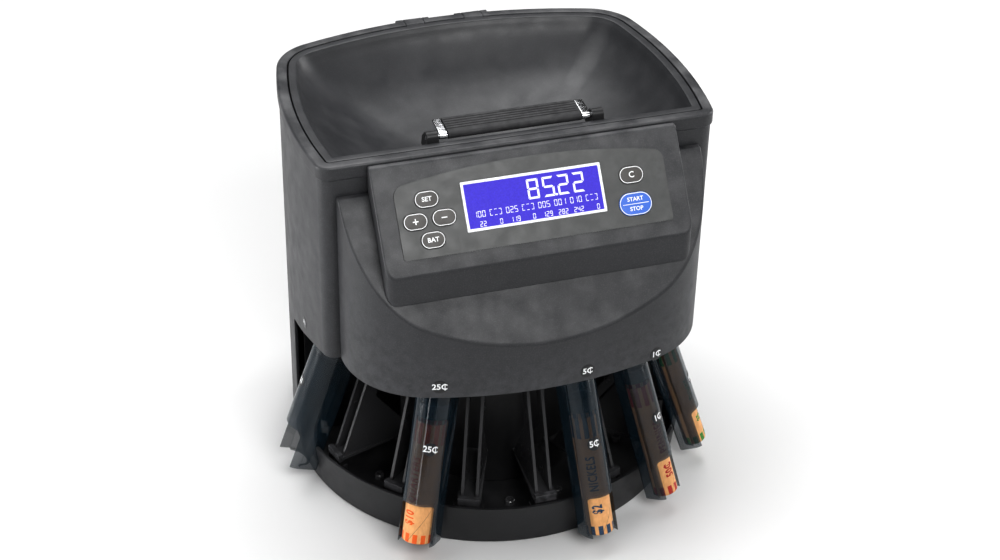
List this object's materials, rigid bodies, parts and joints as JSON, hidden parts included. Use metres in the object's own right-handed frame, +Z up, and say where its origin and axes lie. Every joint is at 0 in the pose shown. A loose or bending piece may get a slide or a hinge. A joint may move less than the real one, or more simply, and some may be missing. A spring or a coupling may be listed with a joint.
{
  "type": "coin sorting machine",
  "caption": "Desktop coin sorting machine: lift-up hopper over a turning disc, sloped keypad with display, and smoked coin tubes leaning round a round base.",
  "frame": {"origin": "middle of the round base's flat underside, on the surface that the machine stands on", "axes": "+Z up; -Y is the front, with the keypad and the coin tubes; +X is to the right when you stand in front of the machine"},
  "size_m": [0.3613, 0.3501, 0.3383],
  "materials": {
    "charcoal_plastic": "fine moulded texture, matte",
    "dark_plastic": "black moulded, satin",
    "smoked_plastic": "smoked transparent, glossy",
    "label_film": "printed polyester film",
    "key_film": "domed printed film",
    "key_blue": "domed printed film, blue",
    "lcd": "lit blue-violet display",
    "rubber": "ribbed soft rubber",
    "chrome": "polished",
    "steel": "brushed",
    "brass": "turned",
    "paper": "kraft paper with printed stripes",
    "circuit": "green circuit board"
  },
  "bodies": {
    "casing": {"base_tray": "dark_plastic", "foot_1": "rubber", "foot_2": "rubber", "foot_3": "rubber", "foot_4": "rubber", "housing_shell": "charcoal_plastic", "rear_panel": "charcoal_plastic", "power_inlet": "dark_plastic", "top_rim": "charcoal_plastic", "hopper_hinge_pin_left": "steel", "hopper_hinge_pin_right": "steel", "front_cover": "charcoal_plastic", "console": "charcoal_plastic", "keypad_overlay": "label_film", "display_window": "lcd", "display_module": "circuit", "mechanism_deck": "steel", "chute_ring": "dark_plastic", "sorting_rail": "steel", "coin_guide_cover": "dark_plastic", "coin_sensor": "dark_plastic", "spindle_bearing": "brass", "drive_motor": "steel", "drive_belt": "rubber", "main_board": "circuit", "power_supply": "steel", "bay_bulkhead": "dark_plastic", "centre_column": "dark_plastic", "tube_cradle_1": "dark_plastic", "tube_cradle_2": "dark_plastic", "tube_cradle_3": "dark_plastic", "tube_cradle_4": "dark_plastic", "tube_cradle_5": "dark_plastic", "tube_cradle_6": "dark_plastic", "tube_cradle_7": "dark_plastic"},
    "hopper": {"hopper_tray": "charcoal_plastic"},
    "handle": {"handle_grip": "rubber", "handle_cap_left": "chrome", "handle_cap_right": "chrome"},
    "disc": {"feed_disc": "steel", "disc_spindle": "steel", "disc_pulley": "dark_plastic"},
    "motor_shaft": {"motor_pulley": "brass"},
    "rocker": {"switch_rocker": "rubber"},
    "button_set": {"key_set": "key_film"},
    "button_plus": {"key_plus": "key_film"},
    "button_minus": {"key_minus": "key_film"},
    "button_bat": {"key_bat": "key_film"},
    "button_clear": {"key_clear": "key_film"},
    "button_start_stop": {"key_start_stop": "key_blue"},
    "dollar_tube": {"tube_dollar": "smoked_plastic"},
    "quarter_tube": {"tube_quarter": "smoked_plastic", "wrapper_quarter": "paper"},
    "nickel_tube": {"tube_nickel": "smoked_plastic", "wrapper_nickel": "paper"},
    "penny_tube": {"tube_penny": "smoked_plastic", "wrapper_penny": "paper"},
    "dime_tube": {"tube_dime": "smoked_plastic", "wrapper_dime": "paper"}
  },
  "joints": [
    {"name": "hopper_lift", "type": "hinge", "parent": "casing", "child": "hopper", "pos_m": [0, 0.145, 0.3278], "axis": [-1, 0, 0], "range_deg": [0, 75]},
    {"name": "handle_fold", "type": "hinge", "parent": "hopper", "child": "handle", "pos_m": [0, -0.0595, 0.3335], "axis": [1, 0, 0], "range_deg": [0, 85]},
    {"name": "disc_spin", "type": "hinge", "parent": "casing", "child": "disc", "pos_m": [0, -0.015, 0.19], "axis": [0, 0, 1], "continuous": true},
    {"name": "motor_spin", "type": "hinge", "parent": "casing", "child": "motor_shaft", "pos_m": [0, 0.046, 0.17], "axis": [0, 0, 1], "continuous": true},
    {"name": "power_rocker", "type": "hinge", "parent": "casing", "child": "rocker", "pos_m": [0.016, 0.1395, 0.0505], "axis": [1, 0, 0], "range_deg": [-16, 0]},
    {"name": "press_set", "type": "slide", "parent": "casing", "child": "button_set", "axis": [0, 0.7994, -0.6008], "range_m": [0, 0.0008], "stiffness_N_per_m": 150, "springref_m": -0.002},
    {"name": "press_plus", "type": "slide", "parent": "casing", "child": "button_plus", "axis": [0, 0.7994, -0.6008], "range_m": [0, 0.0008], "stiffness_N_per_m": 150, "springref_m": -0.002},
    {"name": "press_minus", "type": "slide", "parent": "casing", "child": "button_minus", "axis": [0, 0.7994, -0.6008], "range_m": [0, 0.0008], "stiffness_N_per_m": 150, "springref_m": -0.002},
    {"name": "press_bat", "type": "slide", "parent": "casing", "child": "button_bat", "axis": [0, 0.7994, -0.6008], "range_m": [0, 0.0008], "stiffness_N_per_m": 150, "springref_m": -0.002},
    {"name": "press_clear", "type": "slide", "parent": "casing", "child": "button_clear", "axis": [0, 0.7994, -0.6008], "range_m": [0, 0.0008], "stiffness_N_per_m": 150, "springref_m": -0.002},
    {"name": "press_start_stop", "type": "slide", "parent": "casing", "child": "button_start_stop", "axis": [0, 0.7994, -0.6008], "range_m": [0, 0.0008], "stiffness_N_per_m": 150, "springref_m": -0.002},
    {"name": "dollar_swing", "type": "hinge", "parent": "casing", "child": "dollar_tube", "pos_m": [-0.15048, -0.02526, 0.15], "axis": [-0.068, 0.9977, 0], "range_deg": [0, 20]},
    {"name": "quarter_swing", "type": "hinge", "parent": "casing", "child": "quarter_tube", "pos_m": [-0.08986, -0.13468, 0.15], "axis": [-0.7997, 0.6004, 0], "range_deg": [0, 25]},
    {"name": "nickel_swing", "type": "hinge", "parent": "casing", "child": "nickel_tube", "pos_m": [0.03154, -0.15967, 0.15], "axis": [-0.977, -0.213, 0], "range_deg": [0, 25]},
    {"name": "penny_swing", "type": "hinge", "parent": "casing", "child": "penny_tube", "pos_m": [0.0882, -0.13247, 0.15], "axis": [-0.7997, -0.6004, 0], "range_deg": [0, 25]},
    {"name": "dime_swing", "type": "hinge", "parent": "casing", "child": "dime_tube", "pos_m": [0.12853, -0.08479, 0.15], "axis": [-0.4772, -0.8788, 0], "range_deg": [0, 25]}
  ],
  "couplings": [
    {"joint": "motor_spin", "follows": "disc_spin", "ratio": 3.75}
  ]
}
